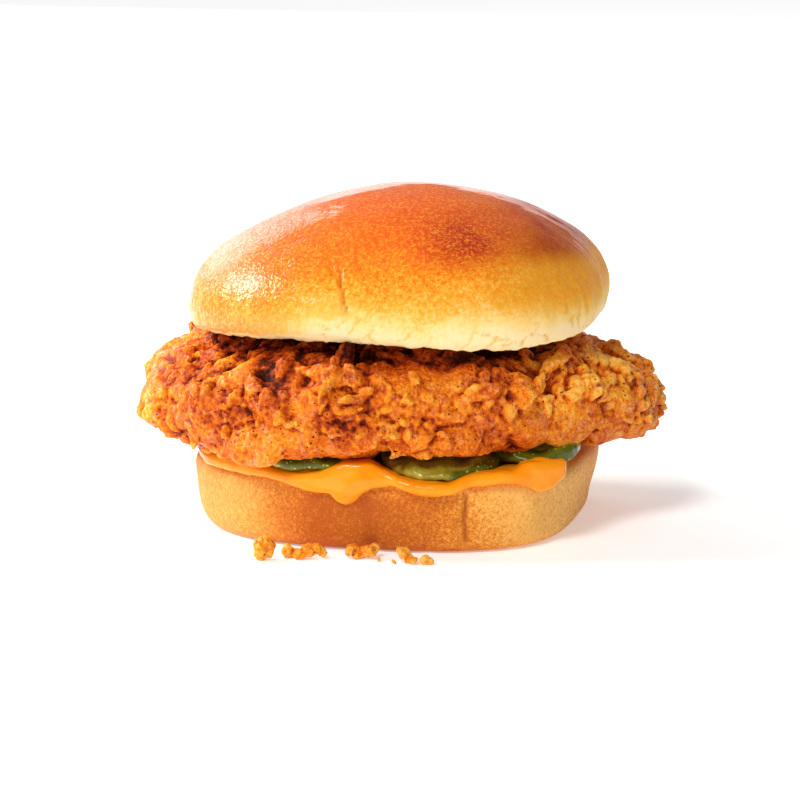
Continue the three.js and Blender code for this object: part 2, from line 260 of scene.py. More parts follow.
def front_spot(tree, x, z):
    """Where the front shows (x, z), and which way it faces there."""
    place, normal, _, _ = tree.ray_cast(Vector((x * MM, -0.2, z * MM)), Vector((0, 1, 0)))
    return (None, None) if place is None else (np.array(place), np.array(normal))


def dress(piece, material, nodes=()):
    """The last steps of each piece: its material, the body it rides on and the nodes that it replaces."""
    mesh = piece.data
    mesh.materials.clear()
    mesh.materials.append(material)
    mesh.polygons.foreach_set("use_smooth", [True] * len(mesh.polygons))
    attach(piece, "root")
    if nodes:
        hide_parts(*nodes)


# Materials

def colour(red, green, blue):
    """A colour given as on a screen, 0 to 255, for a shader's socket."""
    linear = [(part / 255) / 12.92 if part <= 10 else ((part / 255 + 0.055) / 1.055) ** 2.4
              for part in (red, green, blue)]
    return (*linear, 1.0)


class Graph:
    """A material's nodes, built by short calls. Sizes are in metres of the frame."""

    def __init__(self, name):
        self.material = bpy.data.materials.new(name)
        self.material.use_nodes = True
        self.tree = self.material.node_tree
        self.tree.nodes.clear()
        self.place = self.add("ShaderNodeTexCoord").outputs["Object"]

    def add(self, kind, settings=None, **inputs):
        node = self.tree.nodes.new(kind)
        for key, value in (settings or {}).items():
            setattr(node, key, value)
        for key, value in inputs.items():
            self.feed(node.inputs[key.replace("_", " ")], value)
        return node

    def feed(self, socket, value):
        if isinstance(value, bpy.types.NodeSocket):
            self.tree.links.new(value, socket)
        else:
            socket.default_value = value

    def stretched(self, scale):
        return self.add("ShaderNodeMapping", Vector=self.place, Scale=scale).outputs["Vector"]

    def noise(self, size, detail=3.0, roughness=0.5, place=None):
        node = self.add("ShaderNodeTexNoise", Vector=place or self.place, Scale=1 / size,
                        Detail=detail, Roughness=roughness)
        return node.outputs["Fac"]

    def swing(self, *settings, **place):
        """Noise from -0.5 to 0.5."""
        return self.maths("SUBTRACT", self.noise(*settings, **place), 0.5)

    def cells(self, size):
        """Distance to the nearest of points scattered `size` apart, in sizes."""
        return self.add("ShaderNodeTexVoronoi", Vector=self.place, Scale=1 / size).outputs["Distance"]

    def kept(self, name):
        return self.add("ShaderNodeAttribute", {"attribute_name": name}).outputs["Fac"]

    def across_and_height(self):
        parts = self.add("ShaderNodeSeparateXYZ", Vector=self.place)
        return parts.outputs["X"], parts.outputs["Z"]

    def span(self, value, low, high, start=0.0, end=1.0):
        node = self.add("ShaderNodeMapRange", {"interpolation_type": "SMOOTHSTEP"}, Value=value,
                        From_Min=low, From_Max=high, To_Min=start, To_Max=end)
        return node.outputs["Result"]

    def maths(self, operation, first, second=0.0, third=0.0):
        node = self.add("ShaderNodeMath", {"operation": operation})
        for socket, value in zip(node.inputs, (first, second, third)):
            self.feed(socket, value)
        return node.outputs["Value"]

    def times(self, first, second):
        return self.maths("MULTIPLY", first, second)

    def plus(self, first, second):
        return self.maths("ADD", first, second)

    def added(self, part, share, onto):
        return self.maths("MULTIPLY_ADD", part, share, onto)

    def mix(self, share, first, second):
        node = self.add("ShaderNodeMix", {"data_type": "RGBA", "clamp_factor": True})
        for index, value in ((0, share), (6, first), (7, second)):
            self.feed(node.inputs[index], value)
        return node.outputs[2]

    def ramp(self, value, stops):
        """Colours along a value: each stop is a place from 0 to 1, then red, green and blue."""
        node = self.add("ShaderNodeValToRGB", Fac=value)
        elements = node.color_ramp.elements
        for index, (place, *shade) in enumerate(stops):
            element = elements[index] if index < 2 else elements.new(place)
            element.position = place
            element.color = colour(*shade)
        return node.outputs["Color"]

    def bump(self, height, strength, distance, under=None):
        node = self.add("ShaderNodeBump", Height=height, Strength=strength, Distance=distance)
        if under:
            self.feed(node.inputs["Normal"], under)
        return node.outputs["Normal"]

    def finish(self, **inputs):
        """The shader, with its own sockets by name."""
        shader = self.add("ShaderNodeBsdfPrincipled")
        for key, value in inputs.items():
            self.feed(shader.inputs[key.replace("_", " ")], value)
        output = self.add("ShaderNodeOutputMaterial")
        self.tree.links.new(shader.outputs["BSDF"], output.inputs["Surface"])
        return self.material


# Bread

# Heights of the crown's cut face and of the heel's top
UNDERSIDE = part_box("bun_top")[0].z
HEEL_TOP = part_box("bun_bottom")[1].z

# Upright creases in the front: x, lowest and highest point, width, how far the foot lies right of the top,
# and depth from 0 to 1
CROWN_CREASES = [
    (-12.0, 47.4, 55.8, 0.26, 1.9, 1.0), (-14.0, 53.6, 57.4, 0.4, 1.2, 0.5),
    (-28.4, 47.0, 50.0, 0.5, 1.2, 0.35), (-21.0, 50.0, 53.0, 0.3, 0.5, 0.3),
]
HEEL_CREASES = [(12.7, 2.6, 12.0, 0.5, 0.3, 1.0), (-6.4, 1.0, 12.0, 1.1, 0.9, 0.35)]
# Where the heel's foot is notched in front, and half the width of each notch
HEEL_NOTCHES = [(-5.2, 1.1), (5.2, 1.1)]


def bread_surface(node, name, smoothing):
    """A smooth fine mesh of a bun half's solid."""
    piece = copy_of(node, name)
    modify(piece, "SUBSURF", levels=2, render_levels=2)
    remesh(piece, name)
    mesh = piece.data
    set_points(mesh, relaxed(points_of(mesh), edges_of(mesh), smoothing))
    return piece


def groove(places, x, z_low, z_high, width, sway):
    """An upright crease in the front, 1 along its middle. Its foot lies `sway` right of its top."""
    height = places[:, 2]
    share = np.clip((z_high - height) / (z_high - z_low), 0, 1)
    line = x + sway * share + 0.35 * MM * smooth_noise(places * [0, 0, 1], 2.5 * MM, 71)
    across = np.exp(-((places[:, 0] - line) / width) ** 2)
    along = ease(height, z_low - 1 * MM, z_low + 1.5 * MM)
    along *= 1 - ease(height, z_high - 1.5 * MM, z_high + 1 * MM)
    return across * along * ease(-places[:, 1], 5 * MM, 15 * MM)


def grooves(places, rows):
    """All the creases of one half of the bun."""
    total = np.zeros(len(places))
    for x, z_low, z_high, width, sway, depth in rows:
        total += groove(places, x * MM, z_low * MM, z_high * MM, width * MM, sway * MM) * depth
    return total


def band_lines(places, low_band):
    """A few shallow lines in the crown's pale band, 1 along their middle."""
    bent = places * [1.0, 1.0, 1.9]
    bent[:, 2] += 2.2 * MM * rough_noise(places, 4 * MM, 38, 3, 0.6)
    nearest, second, _ = cell_noise(bent, 5.5 * MM, 37)
    shown = ease(rough_noise(places, 6 * MM, 39, 1), -0.5, 0.1)
    return (1 - ease(second - nearest, 0.0, 0.10)) * low_band * shown


def keep_crown_tints(mesh, places, height):
    """The red patch right of the middle, and the toasted right shoulder above a wavy border."""
    uneven = 1 + 0.35 * rough_noise(places, 7 * MM, 49, 2)
    across = (places[:, 0] - 12.5 * MM) / (8.5 * MM)
    up = (height - 60.4 * MM) / (4.2 * MM)
    patch = np.exp(-across ** 2 - up ** 2) * ease(-places[:, 1], 8 * MM, 16 * MM)
    keep_number(mesh, "blush", np.clip(patch * uneven, 0, 1))
    border = 53.5 * MM + 1.5 * MM * rough_noise(places, 9 * MM, 48, 2)
    toast = ease(places[:, 0], 15 * MM, 30 * MM) * ease(height - border, 0.0, 5 * MM)
    keep_number(mesh, "toast", np.clip(toast * uneven, 0, 1))


def crown():
    piece = bread_surface("bun_top", "crown", 16)
    mesh = piece.data
    places = points_of(mesh)
    normals = normals_of(mesh)
    height = places[:, 2]
    side = 1 - np.abs(normals[:, 2])
    around = np.arctan2(places[:, 1], places[:, 0])
    above = height - UNDERSIDE
    low_band = (1 - ease(above, 6 * MM, 14 * MM)) * ease(above, 0.0, 2 * MM)
    # Upright wrinkles of the shrunken skin, deepest on the right-hand end
    ring = np.stack([around * 26 * MM, height * 0.2, np.zeros(len(height))], axis=1)
    lift = 0.10 * MM * rough_noise(ring, 3.2 * MM, 21, 3, 0.6) * side * (0.2 + low_band)
    right = ease(places[:, 0], 24 * MM, 36 * MM)
    folds = 1 - np.abs(rough_noise(ring, 2.6 * MM, 25, 2, 0.5))
    lift += 0.75 * MM * (folds - 0.6) * right * side
    lift += 0.20 * MM * rough_noise(places, 11 * MM, 31, 3, 0.5)
    # Fine pits, roughest on the left-hand end
    left = 1 - ease(places[:, 0], -34 * MM, -8 * MM)
    pits = rough_noise(places, 0.9 * MM, 35, 2, 0.7)
    lift += (0.02 + 0.035 * left) * MM * pits * (1 - low_band)
    creases = grooves(places, CROWN_CREASES)
    lift -= 0.7 * MM * creases
    lines = band_lines(places, low_band)
    lift -= 0.20 * MM * lines
    # The torn edge below the pale band is toothed
    edge = np.exp(-((height - UNDERSIDE) / (1.3 * MM)) ** 2) * ease(side, 0.2, 0.7)
    lift += edge * (0.40 * MM * rough_noise(places, 1.8 * MM, 41, 3, 0.75) + 0.15 * MM)
    under = ease(-normals[:, 2], 0.6, 0.9)
    lift += under * 0.25 * MM * rough_noise(places, 2.0 * MM, 45, 3, 0.7)
    places = places + normals * lift[:, None]
    places[:, 2] -= edge * 0.8 * MM * np.clip(rough_noise(places, 1.2 * MM, 47, 2, 0.7), -0.5, 1.2)
    set_points(mesh, places)
    keep_number(mesh, "creased", np.clip(creases, 0, 1))
    keep_number(mesh, "lined", lines)
    keep_crown_tints(mesh, places, height)
    dress(piece, crown_crust(), ["bun_top"])


def crown_bake(look, across, height):
    """How baked the skin is, from the pale band to the glazed top, and where its fine grain is strong."""
    wave = look.added(look.swing(15 * MM, 3.0), 8 * MM, height)
    streak = look.swing(1.0, 4.0, 0.6, place=look.stretched((420.0, 420.0, 110.0)))
    wave = look.added(streak, 2.5 * MM, wave)
    # The border lies higher on the right and lower on the left
    golden_part = look.maths("MINIMUM", wave, UNDERSIDE + 10.5 * MM)
    wave = look.maths("SUBTRACT", wave, look.span(across, 3 * MM, 24 * MM, 0.0, 4.0 * MM))
    wave = look.maths("MAXIMUM", wave, golden_part)
    wave = look.plus(wave, look.span(across, -38 * MM, -16 * MM, 7.5 * MM, 0.0))
    grainy = look.span(wave, UNDERSIDE + 5 * MM, UNDERSIDE + 15 * MM, 0.25, 1.0)
    grainy = look.times(grainy, look.span(across, 14 * MM, 28 * MM, 1.0, 0.45))
    fine = look.swing(0.75 * MM, 6.0, 0.8)
    wave = look.added(look.times(fine, grainy), 42.0 * MM, wave)
    baked = look.add("ShaderNodeMapRange", Value=wave, From_Min=UNDERSIDE + 3 * MM,
                     From_Max=UNDERSIDE + 27 * MM)
    return baked.outputs["Result"], grainy


def crown_shade(look, across, height, baked, grainy):
    """The skin's colour, with the cut face below."""
    shade = look.ramp(baked, [
        (0.0, 252, 224, 170), (0.12, 250, 210, 126), (0.22, 244, 180, 72), (0.32, 240, 156, 36),
        (0.45, 236, 124, 10), (0.62, 228, 94, 2), (0.80, 218, 82, 2), (1.0, 208, 74, 3),
    ])
    # A toasted brown-red right shoulder, and a red patch to the right of the middle
    shade = look.mix(look.times(look.kept("toast"), 0.80), shade, colour(158, 36, 3))
    shade = look.mix(look.kept("blush"), shade, colour(178, 32, 1))
    mottle = look.span(look.noise(0.7 * MM, 6.0, 0.8), 0.49, 0.58)
    light = look.times(mottle, look.times(grainy, 0.42))
    shade = look.mix(light, shade, colour(255, 180, 40))
    # Mottled tan on the left
    golden = look.span(height, UNDERSIDE + 12 * MM, UNDERSIDE + 22 * MM, 1.0, 0.4)
    golden = look.times(look.span(across, -36 * MM, -14 * MM, 0.75, 0.0), golden)
    shade = look.mix(golden, shade, look.mix(mottle, colour(206, 114, 28), colour(238, 170, 70)))
    # Painted shade: darker orange along the creases
    shade = look.mix(look.times(look.kept("creased"), 0.8), shade, colour(206, 100, 16))
    shade = look.mix(look.times(look.kept("lined"), 0.85), shade, colour(232, 180, 66))
    # The cut face below is pale crumb
    normal = look.add("ShaderNodeNewGeometry").outputs["Normal"]
    facing = look.add("ShaderNodeSeparateXYZ", Vector=normal).outputs["Z"]
    low = look.span(height, UNDERSIDE + 0.2 * MM, UNDERSIDE + 1.6 * MM, 1.0, 0.0)
    cut = look.maths("MAXIMUM", look.span(facing, -0.9, -0.5, 1.0, 0.0), look.times(low, 0.5))
    return look.mix(cut, shade, colour(255, 236, 170))


def crown_crust():
    look = Graph("crown_crust")
    across, height = look.across_and_height()
    baked, grainy = crown_bake(look, across, height)
    shade = crown_shade(look, across, height, baked, grainy)
    # The glaze is smooth on top and to the right, and gritty on the left, where it sparkles
    left = look.span(across, -24 * MM, -12 * MM, 1.0, 0.0)
    upper = look.span(height, UNDERSIDE + 12 * MM, UNDERSIDE + 17 * MM)
    upper = look.times(look.span(baked, 0.30, 0.55), upper)
    upper = look.times(upper, look.added(look.kept("toast"), -0.6, 1.0))
    glazed = look.maths("MAXIMUM", upper, look.times(left, look.span(baked, 0.1, 0.3)))
    skin = look.bump(look.noise(2.4 * MM, 3.0, 0.6), 0.10, 0.35 * MM)
    gritty = look.added(left, 0.95, 0.05)
    grit = look.times(look.noise(0.6 * MM, 1.0, 0.5), gritty)
    skin = look.bump(grit, 1.0, 0.15 * MM, skin)
    normal = look.bump(look.noise(0.5 * MM, 3.0, 0.7), 0.6, 0.14 * MM, skin)
    rough = look.span(look.noise(6 * MM, 3.0), 0.3, 0.7, 0.46, 0.56)
    return look.finish(Base_Color=shade, Roughness=rough, Normal=normal, IOR=1.40, Specular_IOR_Level=0.12,
                       Coat_Weight=look.times(glazed, 0.62), Coat_Roughness=0.07, Coat_Normal=skin)


def heel():
    piece = bread_surface("bun_bottom", "heel", 14)
    mesh = piece.data
    places = points_of(mesh)
    normals = normals_of(mesh)
    height = places[:, 2]
    side = 1 - np.abs(normals[:, 2])
    around = np.arctan2(places[:, 1], places[:, 0])
    ring = np.stack([around * 36 * MM, height * 0.3, np.zeros(len(height))], axis=1)
    lift = 0.14 * MM * rough_noise(ring, 5.0 * MM, 51, 3, 0.6) * side
    lift += 0.16 * MM * rough_noise(places, 6 * MM, 55, 3, 0.5) * side
    lift += 0.05 * MM * rough_noise(places, 1.4 * MM, 58, 2) * side
    creases = grooves(places, HEEL_CREASES)
    lift -= 0.55 * MM * creases
    for x, half in HEEL_NOTCHES:
        notch = np.exp(-((places[:, 0] - x * MM) / (half * MM)) ** 2) * (1 - ease(height, 1.5 * MM, 4 * MM))
        lift -= 0.9 * MM * notch * ease(-places[:, 1], 20 * MM, 30 * MM)
    lift *= ease(height, 0.05 * MM, 1.2 * MM)
    places = places + normals * lift[:, None]
    # The right-hand end slopes in towards the foot, a little less at the foot itself
    slope = (0.5 + 1.9 * (1 - ease(height, 2 * MM, 18 * MM))) * (0.7 + 0.3 * ease(height, -1 * MM, 7 * MM))
    places[:, 0] -= slope * MM * ease(places[:, 0], 22 * MM, 40 * MM)
    places[:, 2] = np.maximum(places[:, 2], 0.0)
    set_points(mesh, places)
    keep_number(mesh, "creased", np.clip(creases, 0, 1))
    dress(piece, heel_crust(), ["bun_bottom"])
    return piece


def heel_crust():
    look = Graph("heel_crust")
    across, height = look.across_and_height()
    broad = look.swing(14 * MM, 3.0)
    left = look.span(across, -38 * MM, -14 * MM)
    right = look.span(across, -10 * MM, 26 * MM, 1.0, 0.0)
    band = look.span(height, HEEL_TOP - 5.0 * MM, HEEL_TOP - 0.5 * MM, 1.0, 0.45)
    baked = look.times(look.times(left, right), band)
    baked = look.added(broad, 0.7, baked)
    fine = look.swing(0.6 * MM, 5.0, 0.9)
    baked = look.added(fine, 3.3, baked)
    foot = look.span(height, 0.3 * MM, 2.5 * MM, 0.25, 0.0)
    baked = look.plus(baked, foot)
    baked = look.plus(baked, look.span(across, 30 * MM, 42 * MM, 0.0, 0.40))
    shade = look.ramp(baked, [
        (0.0, 250, 190, 96), (0.25, 236, 156, 58), (0.5, 216, 128, 34), (0.78, 194, 100, 22),
        (1.0, 178, 86, 18),
    ])
    grain = look.span(look.noise(0.7 * MM, 5.0, 0.85), 0.42, 0.60)
    pale_left = look.mix(grain, colour(190, 106, 34), colour(232, 162, 82))
    shade = look.mix(look.span(across, -40 * MM, -16 * MM, 0.75, 0.0), shade, pale_left)
    # Paler towards the right-hand end: painted light on the end that the key light leaves in shade
    pale_right = look.mix(grain, colour(210, 140, 60), colour(255, 228, 150))
    shade = look.mix(look.span(across, 18 * MM, 38 * MM, 0.0, 0.55), shade, pale_right)
    pores = look.span(look.cells(1.3 * MM), 0.08, 0.20, 0.35, 0.0)
    shade = look.mix(pores, shade, colour(176, 84, 18))
    # Painted shade: darker brown along the creases
    shade = look.mix(look.times(look.kept("creased"), 0.85), shade, colour(160, 66, 10))
    normal = look.bump(look.noise(2.4 * MM, 3.0, 0.6), 0.12, 0.3 * MM)
    normal = look.bump(look.noise(0.5 * MM, 4.0, 0.7), 0.5, 0.18 * MM, normal)
    return look.finish(Base_Color=shade, Roughness=0.65, Normal=normal, Specular_IOR_Level=0.2)


# Sauce

# The upper edge of the sauce along the front, as it wells up between the pickles: x, y, height
SAUCE_EDGE = [
    (-27.0, -31.4, 17.0), (-24.5, -33.0, 16.4), (-19.3, -35.6, 16.2), (-15.4, -36.6, 16.7),
    (-12.5, -37.3, 17.9), (-9.6, -37.6, 19.3), (-6.8, -37.8, 19.3), (-4.8, -38.3, 18.4),
    (-3.0, -38.8, 17.4), (0.0, -39.8, 16.0), (2.9, -40.4, 15.3), (7.0, -41.0, 15.0),
    (10.0, -40.6, 15.0), (11.6, -40.0, 15.8), (13.5, -39.4, 16.4), (18.3, -38.0, 17.1),
    (19.7, -37.6, 17.3), (22.4, -37.0, 16.8), (24.6, -36.0, 18.3), (26.6, -35.2, 18.6),
    (28.4, -34.2, 18.1), (30.9, -32.8, 18.2), (32.4, -31.8, 17.8),
]
# The sauce's rounded lip: the radius of its balls, their spacing, and how high up they start at most
LIP_RADIUS = 1.1
LIP_STEP = 0.45
LIP_FOOT = 15.6
# Where the sauce has run down: x and height of each drop's middle, half its width and half its height
DRIPS = [(-17.4, 14.8, 3.2, 2.2), (-10.6, 12.9, 3.1, 3.0), (5.8, 13.7, 3.8, 1.5), (27.2, 16.2, 3.2, 2.5)]
DRIP_THICKNESS = 1.5
# The drops lie as far forward as the bread is at this height
DRIP_BACKING = 12.0


def sauce_drips(ball_places, bread):
    """A flat round drop on the bread at the end of each run."""
    tree = tree_of(bread)
    shapes = []
    for x, z, half_width, half_height in DRIPS:
        where, _ = front_spot(tree, x, DRIP_BACKING)
        where[2] = z * MM
        shapes.append(ball_places * np.array([half_width, DRIP_THICKNESS, half_height]) * MM + where)
    return shapes


def sauce_bead(ball_places):
    """Overlapping balls along the upper edge: the rounded lip of the sauce."""
    edge = np.array(SAUCE_EDGE)
    shapes = []
    for x in np.arange(edge[0, 0], edge[-1, 0], LIP_STEP):
        back = np.interp(x, edge[:, 0], edge[:, 1])
        top = np.interp(x, edge[:, 0], edge[:, 2])
        for depth in (0.0, 1.3, 2.6):
            for height in np.arange(min(LIP_FOOT, top - 1.2), top - 0.99, 0.7):
                middle = np.array([x, back + LIP_RADIUS + depth, height]) * MM
                shapes.append(ball_places * LIP_RADIUS * MM + middle)
    return shapes


def sauce_layer(bread):
    piece = copy_of("sauce", "sauce_layer")
    modify(piece, "SUBSURF", levels=2, render_levels=2)
    # The solid's own edge gives way to the bead where that runs lower
    mesh = piece.data
    places = points_of(mesh)
    edge = np.array(SAUCE_EDGE) * MM
    top = np.interp(places[:, 0], edge[:, 0], edge[:, 2])
    inside = (places[:, 0] > edge[0, 0]) & (places[:, 0] < edge[-1, 0]) & (places[:, 1] < -28 * MM)
    places[:, 2] = np.where(inside, np.minimum(places[:, 2], top - 0.3 * MM), places[:, 2])
    set_points(mesh, places)
    ball_places, faces = ball(2)
    bead = joined("bead", sauce_bead(ball_places) + sauce_drips(ball_places, bread), faces)
    piece.data = merged("sauce_layer", mesh, bead)
    remesh(piece, "sauce")
    mesh = piece.data
    places = relaxed(points_of(mesh), edges_of(mesh), 9, 0.5)
    set_points(mesh, places)
    normals = normals_of(mesh)
    lift = 0.16 * MM * rough_noise(places, 4 * MM, 61, 2) + 0.22 * MM
    places = places + normals * lift[:, None]
    # On the right the sauce stops short of the bun's corner
    stop = ease(places[:, 0], 32 * MM, 37 * MM)
    places[:, 0] -= stop * 0.12 * places[:, 0]
    places[:, 1] -= stop * 0.12 * places[:, 1]
    set_points(mesh, places)
    dress(piece, wet_sauce(), ["sauce"])


def wet_sauce():
    look = Graph("wet_sauce")
    tone = look.span(look.noise(5 * MM, 2.0), 0.35, 0.65)
    shade = look.mix(tone, colour(252, 146, 4), colour(254, 158, 14))
    normal = look.bump(look.noise(3 * MM, 2.0), 0.15, 0.5 * MM)
    return look.finish(Base_Color=shade, Roughness=0.18, Normal=normal, Subsurface_Weight=0.3,
                       Subsurface_Radius=(1.0, 0.5, 0.1), Subsurface_Scale=2.0 * MM, IOR=1.42,
                       Specular_IOR_Level=0.4)


# Pickles

# Where along X the dark skin of each slice begins: left of it the knife has cut the skin off
SKIN_FROM = {"pickle_left": -24.0, "pickle_middle": 9.5, "pickle_right": 0.0}
# How far the front of each slice hangs down over the sauce
SAG = {"pickle_left": 0.7, "pickle_middle": 1.2, "pickle_right": 1.1}
# How far each slice lies from its solid, along X and along Y
SLID = {"pickle_left": (0.0, -1.0), "pickle_middle": (0.6, 0.0), "pickle_right": (-2.2, -2.2)}


def pickle(node):
    piece = copy_of(node, "crinkle_" + node)
    low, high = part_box(node)
    centre = np.array([(low.x + high.x) / 2, (low.y + high.y) / 2, 0.0])
    modify(piece, "SUBSURF", levels=2, render_levels=2)
    remesh(piece, "pickle")
    mesh = piece.data
    places = relaxed(points_of(mesh), edges_of(mesh), 4, 0.5)
    places[:, 2] -= SAG[node] * MM * ease(-places[:, 1], -low.y - 9 * MM, -low.y)
    places[:, 0:2] += np.array(SLID[node]) * MM
    set_points(mesh, places)
    normals = normals_of(mesh)
    skin = ease(1 - np.abs(normals[:, 2]), 0.35, 0.8)
    warts = pebbles(places, 1.9 * MM, 63)
    lift = skin * 0.35 * MM * (warts - 0.4) + 0.05 * MM * rough_noise(places, 1.5 * MM, 66, 2)
    places = places + normals * lift[:, None]
    set_points(mesh, places)
    reach = np.linalg.norm((places - centre)[:, :2], axis=1)
    radius = max(high.x - low.x, high.y - low.y) / 2
    skinned = ease(places[:, 0] - SKIN_FROM[node] * MM, -1.5 * MM, 1.5 * MM)
    keep_number(mesh, "rind", ease(reach, radius - 1.6 * MM, radius - 0.5 * MM) * skinned)
    dress(piece, pickle_flesh(node), [node])


def pickle_flesh(node):
    look = Graph("flesh_" + node)
    rind = look.kept("rind")
    streak = look.span(look.noise(2.5 * MM, 3.0, 0.6), 0.35, 0.7)
    flesh = look.mix(streak, colour(138, 128, 26), colour(184, 172, 62))
    specks = look.span(look.cells(1.0 * MM), 0.14, 0.30, 1.0, 0.0)
    green = look.mix(look.noise(2.4 * MM, 3.0), colour(52, 64, 6), colour(108, 112, 20))
    green = look.mix(look.times(specks, 0.8), green, colour(206, 204, 66))
    shade = look.mix(rind, flesh, green)
    normal = look.bump(look.noise(0.8 * MM, 3.0), 0.4, 0.3 * MM)
    return look.finish(Base_Color=shade, Roughness=0.16, Normal=normal, Subsurface_Weight=0.3,
                       Subsurface_Radius=(0.7, 1.0, 0.2), Subsurface_Scale=2.0 * MM, IOR=1.4,
                       Specular_IOR_Level=0.55)


# Fried crust

FILLET_TRIANGLES = 194000
# Bits of crust that are scattered by chance, and the share of them that are granules
BIT_COUNT = 900
BIT_SEED = 11
GRANULE_SHARE = 0.80
# Larger bits of crust on the front: x and height of the middle, half length, width and thickness, how far
# it is turned up from level in degrees, and how far it leans out in radians
FLAKES = [
    (31.4, 36.0, (6.2, 2.2, 1.5), 10, 0.5), (27.0, 37.6, (2.0, 1.6, 1.2), 70, 0.6),
    (36.5, 35.2, (3.0, 2.0, 1.4), -30, 0.3), (40.4, 39.6, (3.4, 2.6, 2.0), 10, 0.2),
    (37.2, 41.0, (2.6, 2.0, 1.8), -20, 0.2), (44.4, 38.2, (2.6, 2.2, 1.6), -40, 0.2),
    (43.6, 34.0, (2.4, 2.6, 1.8), 80, 0.2), (46.2, 32.4, (1.8, 1.6, 1.4), 0, 0.2),
    (41.4, 31.0, (2.0, 1.4, 1.2), 30, 0.4), (15.8, 33.0, (3.5, 2.2, 1.4), 15, 0.7),
    (18.6, 35.0, (2.4, 1.6, 1.0), 60, 0.6), (23.5, 31.0, (3.6, 2.4, 1.6), -20, 0.4),
    (21.0, 28.6, (2.2, 2.0, 1.4), 40, 0.4), (26.8, 32.6, (2.2, 1.6, 1.2), 70, 0.3),
    (24.6, 37.0, (2.4, 1.6, 1.0), 30, 0.7), (-22.5, 36.7, (2.8, 1.6, 1.3), 75, 0.5),
    (-30.2, 37.9, (4.2, 1.4, 1.3), 14, 0.4), (-35.0, 40.0, (3.6, 2.0, 1.6), -12, 0.3),
    (-40.2, 38.4, (3.0, 2.2, 1.8), 10, 0.2), (-42.0, 41.2, (2.4, 2.0, 1.8), 30, 0.2),
    (-31.3, 30.6, (2.6, 1.6, 1.5), 80, 0.5), (-28.0, 33.4, (2.4, 1.6, 1.4), -40, 0.5),
    (-25.4, 31.4, (2.0, 1.8, 1.5), 20, 0.5), (-34.6, 34.8, (2.2, 1.6, 1.3), 0, 0.4),
    (-11.0, 37.5, (3.8, 2.6, 1.2), 60, 0.6), (-15.4, 36.2, (3.0, 1.6, 1.2), 30, 0.6),
    (-14.3, 33.4, (3.6, 1.6, 1.0), 48, 0.7), (-3.1, 40.6, (2.0, 1.1, 0.8), 80, 0.8),
    (-9.1, 31.6, (3.4, 0.9, 0.9), -8, 0.6), (-9.6, 29.8, (2.8, 0.8, 0.8), 6, 0.6),
    (-6.8, 33.0, (2.2, 0.9, 0.9), 30, 0.6), (4.0, 38.6, (3.2, 2.0, 1.2), -15, 0.4),
    (10.6, 38.0, (2.8, 1.6, 1.2), 25, 0.5), (-1.9, 25.6, (1.9, 0.8, 0.8), 60, 0.4),
    (0.4, 27.4, (1.7, 0.7, 0.7), -30, 0.4), (-3.8, 27.0, (1.6, 0.7, 0.7), 10, 0.4),
    (1.6, 24.6, (1.5, 0.8, 0.8), 80, 0.4), (-8.5, 27.4, (1.2, 1.0, 0.9), 0, 0.4),
    (-7.6, 25.2, (1.3, 1.1, 0.9), 50, 0.4), (12.4, 30.2, (2.2, 1.6, 1.2), -30, 0.4),
    (34.4, 30.0, (2.0, 1.4, 1.2), 20, 0.4), (-46.0, 36.4, (2.4, 2.0, 1.6), 40, 0.2),
]
# Smooth swells of the batter on the front: x, height, radius, how far out
DOMES = [
    (1.0, 34.0, 9.0, 1.6), (16.0, 26.5, 7.5, 1.8), (33.0, 25.8, 7.0, 1.4), (-21.0, 26.6, 8.0, 1.6),
    (-36.5, 25.6, 7.0, 1.0), (-19.0, 22.0, 4.5, 0.8), (-32.0, 21.5, 4.5, 0.8), (25.0, 24.0, 5.0, 1.0),
    (44.0, 27.0, 5.0, 0.8),
]
# Deep dark hollows between the crust's bits: x, height, radius, how far in
HOLLOWS = [
    (-26.6, 35.2, 2.6, 2.0), (-19.5, 38.8, 3.2, 2.2), (-6.6, 37.4, 2.4, 2.0), (-0.8, 20.0, 4.0, 3.0),
    (20.5, 19.4, 4.5, 2.0), (7.6, 39.8, 3.4, 1.6), (20.6, 33.0, 2.0, 1.6), (30.0, 32.6, 3.0, 1.8),
    (38.6, 33.4, 2.2, 1.8), (-38.8, 36.2, 2.2, 1.4), (-17.8, 34.6, 2.0, 1.8), (-12.0, 33.6, 1.8, 1.2),
]
# Where the front is darker or paler than the rest: x, height, radius, how much. Partly fried colour;
# the dark patches just below the crown are painted shade, and the pale ones on the swells and at the
# right-hand end are painted light
PATCHES = [
    (-26.0, 33.0, 4.5, -0.26), (20.0, 38.5, 7.0, -0.16), (4.0, 39.0, 5.0, -0.10), (-13.0, 24.0, 4.0, -0.06),
    (-20.0, 26.5, 6.5, 0.12), (15.5, 28.5, 6.5, 0.14), (-2.0, 33.0, 6.0, 0.02), (31.0, 28.5, 5.0, 0.10),
    (41.0, 39.0, 5.0, 0.26), (43.5, 33.5, 4.5, 0.26), (-44.0, 30.0, 8.0, -0.04), (31.5, 36.0, 4.0, 0.08),
]


def fragment(draw, half, facets, ball_places, curl=0.0):
    """A broken lump: a ball of half sizes `half`, cut flat by planes, its ends bent up by `curl`."""
    planes = draw.normal(size=(facets, 3))
    planes /= np.linalg.norm(planes, axis=1)[:, None]
    offsets = draw.uniform(0.60, 0.95, size=facets)
    facing = ball_places @ planes.T
    reach = np.min(np.where(facing > 0.05, offsets / np.maximum(facing, 0.05), 9.0), axis=1)
    reach = np.minimum(reach, 1.12)
    seed = int(draw.integers(1, 9999))
    reach = reach + 0.16 * rough_noise(ball_places, 0.5, seed, 3, 0.6)
    shaped = ball_places * reach[:, None] * np.array(half)
    shaped[:, 2] += curl * (shaped[:, 0] / half[0]) ** 2 * half[0]
    return shaped


